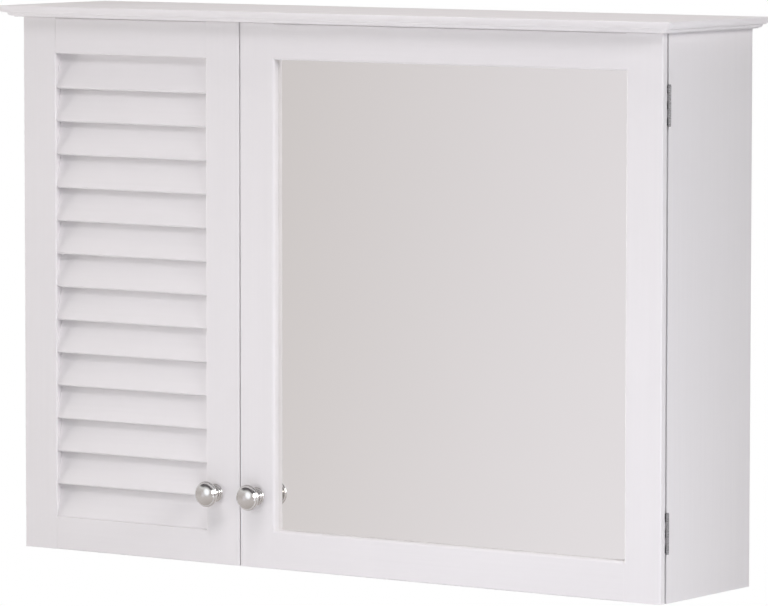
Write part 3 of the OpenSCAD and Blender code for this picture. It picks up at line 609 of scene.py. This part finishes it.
def turned_piece(name, outline, centre):
    """A smooth piece turned about the line through centre towards -Y, from its outline."""
    mesh = bpy.data.meshes.new(name)
    build = bmesh.new()
    rings = []
    for radius, height in outline:
        if radius < ON_AXIS:
            rings.append([build.verts.new((centre[0], centre[1] - height, centre[2]))])
            continue
        ring = []
        for i in range(TURN_STEPS):
            turn = math.tau * i / TURN_STEPS
            ring.append(build.verts.new((centre[0] + radius * math.cos(turn), centre[1] - height,
                                         centre[2] + radius * math.sin(turn))))
        rings.append(ring)
    for low, high in zip(rings, rings[1:]):
        for i in range(TURN_STEPS):
            j = (i + 1) % TURN_STEPS
            corners = [low[i % len(low)], low[j % len(low)], high[j % len(high)],
                       high[i % len(high)]]
            build.faces.new(list(dict.fromkeys(corners)))
    bmesh.ops.recalc_face_normals(build, faces=build.faces)
    for face in build.faces:
        face.smooth = True
    build.to_mesh(mesh)
    build.free()
    piece = bpy.data.objects.new(name, mesh)
    bpy.context.scene.collection.objects.link(piece)
    return piece


class CABINET_OT_boards(bpy.types.Operator):
    """Paints the sides, top and bottom of the cabinet"""

    bl_idname = "cabinet.boards"
    bl_label = "Sides, top and bottom"

    def execute(self, context):
        paint = settings().paint
        upright = brushed_paint("side_paint", paint.board_colour, "Z")
        level = brushed_paint("level_paint", paint.board_colour, "X")
        dress(SIDES, upright, paint.edge_round, 3)
        dress(LEVEL_BOARDS, level, paint.edge_round, 3)
        return {"FINISHED"}


class CABINET_OT_crown(bpy.types.Operator):
    """Paints the moulded crown"""

    bl_idname = "cabinet.crown"
    bl_label = "Crown"

    def execute(self, context):
        paint = settings().paint
        dress(["crown_top"], brushed_paint("crown_paint", paint.crown_colour, "X"),
              paint.slat_round)
        return {"FINISHED"}


class CABINET_OT_door_frames(bpy.types.Operator):
    """Paints the stiles and rails of both doors"""

    bl_idname = "cabinet.door_frames"
    bl_label = "Door frames"

    def execute(self, context):
        paint = settings().paint
        dress(STILES, brushed_paint("stile_paint", paint.door_colour, "Z"), paint.joint_round)
        dress(RAILS, brushed_paint("rail_paint", paint.door_colour, "X"), paint.joint_round)
        return {"FINISHED"}


class CABINET_OT_slats(bpy.types.Operator):
    """Paints the slats of the louvred door"""

    bl_idname = "cabinet.slats"
    bl_label = "Slats"

    def execute(self, context):
        paint = settings().paint
        dress(SLATS, brushed_paint("slat_paint", paint.slat_colour, "X"), paint.slat_round)
        return {"FINISHED"}


class CABINET_OT_mirror(bpy.types.Operator):
    """Silvers the mirror and finishes the board and clips behind it"""

    bl_idname = "cabinet.mirror"
    bl_label = "Mirror"

    def execute(self, context):
        paint, metal = settings().paint, settings().metal
        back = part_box("mirror_backing")[1].y
        dress(["mirror_glass"], silvered_glass("silvering", metal.silver_colour), GLASS_ROUND)
        dress(["mirror_backing"],
              fibre_sheet("mirror_back_board", paint.back_colour, paint.inside_colour,
                          back - BARE_DEPTH), SHEET_ROUND)
        dress(["mirror_clips"],
              plated_steel("clip_plate", metal.steel_colour, roughness=(0.25, 0.42)),
              PLATE_ROUND)
        return {"FINISHED"}


class CABINET_OT_knobs(bpy.types.Operator):
    """Turns both knobs"""

    bl_idname = "cabinet.knobs"
    bl_label = "Knobs"

    def execute(self, context):
        size = settings().knob
        chrome = polished_chrome("knob_chrome", settings().metal.chrome_colour)
        for node, body in KNOBS.items():
            low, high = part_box(node)
            centre = Vector(((low.x + high.x) / 2, high.y, (low.z + high.z) / 2))
            outline = knob_profile(size, high.x - low.x, high.y - low.y)
            piece = turned_piece(node + "_turned", outline, centre)
            piece.data.materials.append(chrome)
            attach(piece, body)
            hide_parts(node)
        return {"FINISHED"}


class CABINET_OT_hinges(bpy.types.Operator):
    """Plates the hinge leaves, pins and screws"""

    bl_idname = "cabinet.hinges"
    bl_label = "Hinges and screws"

    def execute(self, context):
        metal = settings().metal
        plate = plated_steel("hinge_plate", metal.hinge_colour, roughness=(0.2, 0.36))
        dress(LEAVES, plate, LEAF_ROUND)
        dress(["hinge_pins"], plate, LEAF_ROUND)
        dress(SCREWS, plated_steel("screw_plate", metal.steel_colour, roughness=(0.24, 0.4)))
        return {"FINISHED"}


class CABINET_OT_inside(bpy.types.Operator):
    """Finishes the partition, rail, shelves and fittings inside the cabinet"""

    bl_idname = "cabinet.inside"
    bl_label = "Inside and fittings"

    def execute(self, context):
        paint, metal = settings().paint, settings().metal
        dress(INSIDE_BOARDS, faced_board("inside_facing", paint.inside_colour),
              paint.edge_round, 3)
        dress(CLEAR_PARTS, moulded_plastic("clear_plastic", metal.clear_colour,
                                           roughness=(0.1, 0.2), clearness=0.8))
        dress(CATCHES, moulded_plastic("catch_plastic", metal.catch_colour,
                                       roughness=(0.35, 0.5), clearness=0.0), CATCH_ROUND)
        steel = plated_steel("fitting_steel", metal.steel_colour, roughness=(0.3, 0.45))
        dress(["cam_fittings"], steel)
        dress(["louvre_strike", "mirror_strike"], steel, PLATE_ROUND)
        magnet = plated_steel("magnet_dark", metal.magnet_colour, roughness=(0.4, 0.6))
        dress(["catch_magnets"], magnet, MAGNET_ROUND)
        return {"FINISHED"}


class CABINET_OT_back(bpy.types.Operator):
    """Finishes the thin back sheet, bare on its wall side"""

    bl_idname = "cabinet.back"
    bl_label = "Back sheet"

    def execute(self, context):
        paint = settings().paint
        dress(["back_panel"],
              fibre_sheet("back_sheet", paint.back_colour, paint.inside_colour, -BARE_DEPTH),
              SHEET_ROUND)
        return {"FINISHED"}


def place_camera(stage):
    """The camera at its distance and angles round the aim, with no shift."""
    turn, rise = stage.view_azimuth, stage.view_elevation
    back = Vector((math.sin(turn) * math.cos(rise), -math.cos(turn) * math.cos(rise),
                   math.sin(rise)))
    data = bpy.data.cameras.new("camera")
    data.lens = stage.view_lens
    camera = bpy.data.objects.new("camera", data)
    camera.rotation_mode = "QUATERNION"
    camera.location = Vector(stage.view_aim) + back * stage.view_distance
    level = (-back).to_track_quat("-Z", "Y")
    camera.rotation_quaternion = level @ Quaternion((0, 0, 1), stage.view_roll)
    data.clip_start = 0.1
    data.clip_end = 100
    bpy.context.scene.collection.objects.link(camera)
    bpy.context.scene.camera = camera


def lamp(name, at, aim, size, watts, tone=PLAIN_WHITE, mirrored=False):
    """A soft rectangular lamp, hidden from the camera and, unless mirrored, from shiny parts."""
    data = bpy.data.lights.new(name, "AREA")
    data.shape = "RECTANGLE"
    data.size, data.size_y = size
    data.energy = watts
    data.color = tone
    made = bpy.data.objects.new(name, data)
    made.rotation_mode = "QUATERNION"
    made.location = at
    made.rotation_quaternion = (Vector(aim) - Vector(at)).to_track_quat("-Z", "Y")
    made.visible_camera = False
    made.visible_glossy = mirrored
    bpy.context.scene.collection.objects.link(made)


def pale_floor(stage):
    """A round plain floor that fades into the white surroundings at its rim."""
    mesh = bpy.data.meshes.new("floor")
    build = bmesh.new()
    bmesh.ops.create_circle(build, cap_ends=True, segments=FLOOR_STEPS,
                            radius=stage.floor_radius)
    build.to_mesh(mesh)
    build.free()
    floor = bpy.data.objects.new("floor", mesh)
    floor.location = (0, 0, -stage.floor_drop)
    floor.visible_glossy = False
    bpy.context.scene.collection.objects.link(floor)
    made, nodes = new_material("floor_paint")
    point = nodes.object_place()
    reach = nodes.out(nodes.node("ShaderNodeVectorMath", {"operation": "LENGTH"}, {0: point}),
                      "Value")
    fade = nodes.soft_step(reach, stage.floor_radius * FADE_START,
                           stage.floor_radius * FADE_END)
    seen = nodes.out(nodes.node("ShaderNodeLightPath"), "Is Camera Ray")
    grain = nodes.noise(point, even(90.0), 3.0)
    matt = nodes.node("ShaderNodeBsdfPrincipled", None, {
        "Base Color": nodes.mixed(grain, toned(stage.floor_colour, 0.985), stage.floor_colour),
        "Roughness": 0.8,
    })
    white = nodes.node("ShaderNodeEmission", None, {"Color": WHITE, "Strength": 1.0})
    top = nodes.node("ShaderNodeMixShader", None, {
        0: nodes.span(fade, LEAST_GLOW, 1.0) * seen, 1: nodes.out(matt), 2: nodes.out(white)})
    under = nodes.node("ShaderNodeBsdfTransparent")
    facing = nodes.out(nodes.node("ShaderNodeNewGeometry"), "Backfacing")
    nodes.surface(nodes.node("ShaderNodeMixShader", None,
                             {0: facing, 1: nodes.out(top), 2: nodes.out(under)}))
    mesh.materials.append(made)


def shiny_room(nodes, way, stage):
    """What shiny parts see each way in a plain room with a window, and the height of that way."""
    across, depth, rise = nodes.axes(way)
    height = rise * 0.5 + 0.5
    wall = nodes.ramp(height, WALL_STOPS)
    turned = nodes.soft_step(across, -0.62, -0.52) * (1 - nodes.soft_step(across, -0.45, -0.1))
    turned = turned * nodes.soft_step(rise, -0.34, -0.14) * (1 - nodes.soft_step(rise, 0.0, 0.2))
    room = nodes.mixed(turned, wall, nodes.stretched(wall, WALL_GLOW))
    ceiling = nodes.soft_step(rise, 0.30, 0.50)
    room = nodes.mixed(ceiling, room, grey(stage.ceiling_level))
    behind = nodes.soft_step(depth, 0.0, 0.5)
    room = nodes.mixed(behind, room, grey(stage.behind_level))
    above = nodes.soft_step(rise, 0.42, 0.66) * nodes.soft_step(depth, -0.85, -0.50)
    room = nodes.mixed(above, room, SHADE_ABOVE)
    window = nodes.soft_step(across, 0.75, 0.92) * (1 - nodes.soft_step(depth, -0.25, 0.15))
    window = window * nodes.soft_step(rise, 0.06, 0.2)
    room = nodes.mixed(window, room, grey(stage.window_level))
    lit = nodes.out(nodes.node("ShaderNodeVectorMath", {"operation": "DOT_PRODUCT"},
                               {0: way, 1: STUDIO_WAY}), "Value")
    return nodes.mixed(nodes.soft_step(lit, 0.88, 1.0), room, STUDIO_GLOW), height


def studio_world(stage):
    """Even light on the cabinet, a white background, and a plain room for shiny parts."""
    world = bpy.data.worlds.new("studio")
    world.use_nodes = True
    bpy.context.scene.world = world
    nodes = Nodes(world.node_tree)
    path = nodes.node("ShaderNodeLightPath")
    camera = nodes.out(path, "Is Camera Ray")
    shiny = nodes.out(path, "Is Glossy Ray").greatest(nodes.out(path, "Is Transmission Ray"))
    way = nodes.out(nodes.node("ShaderNodeTexCoord"), "Generated")
    room, height = shiny_room(nodes, way, stage)
    seen = nodes.mixed(camera, room, WHITE)
    dome = nodes.ramp(height, [(0.0, tuple(stage.ground_colour)), (0.5, tuple(stage.side_colour)),
                               (1.0, tuple(stage.sky_colour))])
    surround = nodes.node("ShaderNodeBackground", None, {"Color": dome, "Strength": 1.0})
    backdrop = nodes.node("ShaderNodeBackground", None, {"Color": seen, "Strength": 1.0})
    mix = nodes.node("ShaderNodeMixShader", None,
                     {0: camera.greatest(shiny), 1: nodes.out(surround), 2: nodes.out(backdrop)})
    nodes.node("ShaderNodeOutputWorld", None, {"Surface": nodes.out(mix)})


class CABINET_OT_stage(bpy.types.Operator):
    """Sets the camera, lamps, floor and surroundings"""

    bl_idname = "cabinet.stage"
    bl_label = "Stage"

    def execute(self, context):
        stage = settings().stage
        context.scene.view_settings.view_transform = "Standard"
        place_camera(stage)
        pale_floor(stage)
        studio_world(stage)
        lamp("front_lamp", at=(0.1, -1.4, 0.3), aim=(0.1, -0.15, 0.3), size=(0.5, 0.5),
             watts=stage.front_power, tone=(0.97, 0.98, 0.99))
        lamp("near_lamp", at=(0.15, -0.6, 0.0), aim=(0.05, -0.15, 0.45), size=(0.3, 0.3),
             watts=stage.near_power, tone=(0.86, 0.89, 1.0))
        lamp("right_lamp", at=(3.0, -1.0, 1.6), aim=MIDDLE, size=(1.0, 1.0),
             watts=stage.right_power, tone=(1.0, 0.985, 0.98))
        lamp("left_lamp", at=(-3.0, -0.8, 0.3), aim=MIDDLE, size=(1.2, 1.2),
             watts=stage.left_power, tone=(1.0, 0.98, 0.955))
        lamp("high_lamp", at=(0.2, -1.6, 2.2), aim=MIDDLE, size=(0.8, 0.8),
             watts=stage.high_power, tone=(0.98, 0.95, 1.0))
        lamp("top_lamp", at=(0.0, -0.3, 1.8), aim=MIDDLE, size=(1.0, 0.6),
             watts=stage.top_power, tone=(1.0, 0.95, 0.925))
        lamp("strip_lamp", at=(0.66, -0.27, 0.2), aim=(0.36, -0.14, 0.2), size=(0.08, 0.9),
             watts=stage.strip_power, tone=(0.86, 0.90, 1.0), mirrored=True)
        lamp("edge_lamp", at=(0.60, -0.20, 0.0), aim=(0.36, -0.13, 0.1), size=(0.06, 0.5),
             watts=stage.edge_power)
        lamp("back_lamp", at=(0.0, 3.5, 0.45), aim=MIDDLE, size=(1.0, 1.0),
             watts=stage.back_power)
        return {"FINISHED"}


OPERATORS = [CABINET_OT_stage, CABINET_OT_boards, CABINET_OT_crown, CABINET_OT_door_frames,
             CABINET_OT_slats, CABINET_OT_mirror, CABINET_OT_knobs, CABINET_OT_hinges,
             CABINET_OT_inside, CABINET_OT_back]


class CABINET_PT_panel(bpy.types.Panel):
    """Lists the steps that dress the cabinet and their settings"""

    bl_idname = "CABINET_PT_panel"
    bl_label = "Bathroom cabinet"
    bl_space_type = "VIEW_3D"
    bl_region_type = "UI"
    bl_category = "Cabinet"

    def draw(self, context):
        for operator in OPERATORS:
            self.layout.operator(operator.bl_idname)
        for group in ("paint", "metal", "knob", "stage"):
            holder = getattr(context.scene.cabinet, group)
            box = self.layout.box()
            box.label(text=group.capitalize())
            for name in holder.__annotations__:
                box.prop(holder, name)


CLASSES = [CabinetPaint, CabinetMetal, CabinetKnob, CabinetStage, CabinetSettings, *OPERATORS,
           CABINET_PT_panel]


def register():
    """Registers the classes and puts the settings on the scene."""
    for made in CLASSES:
        bpy.utils.register_class(made)
    bpy.types.Scene.cabinet = bpy.props.PointerProperty(
        type=CabinetSettings, name="Cabinet", description="Settings of the cabinet")


def unregister():
    """Takes the settings and the classes away again."""
    del bpy.types.Scene.cabinet
    for made in reversed(CLASSES):
        bpy.utils.unregister_class(made)


def main():
    """Registers the add-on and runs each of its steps."""
    register()
    for operator in OPERATORS:
        group, name = operator.bl_idname.split(".")
        getattr(getattr(bpy.ops, group), name)()


if __name__ == "__main__":
    main()
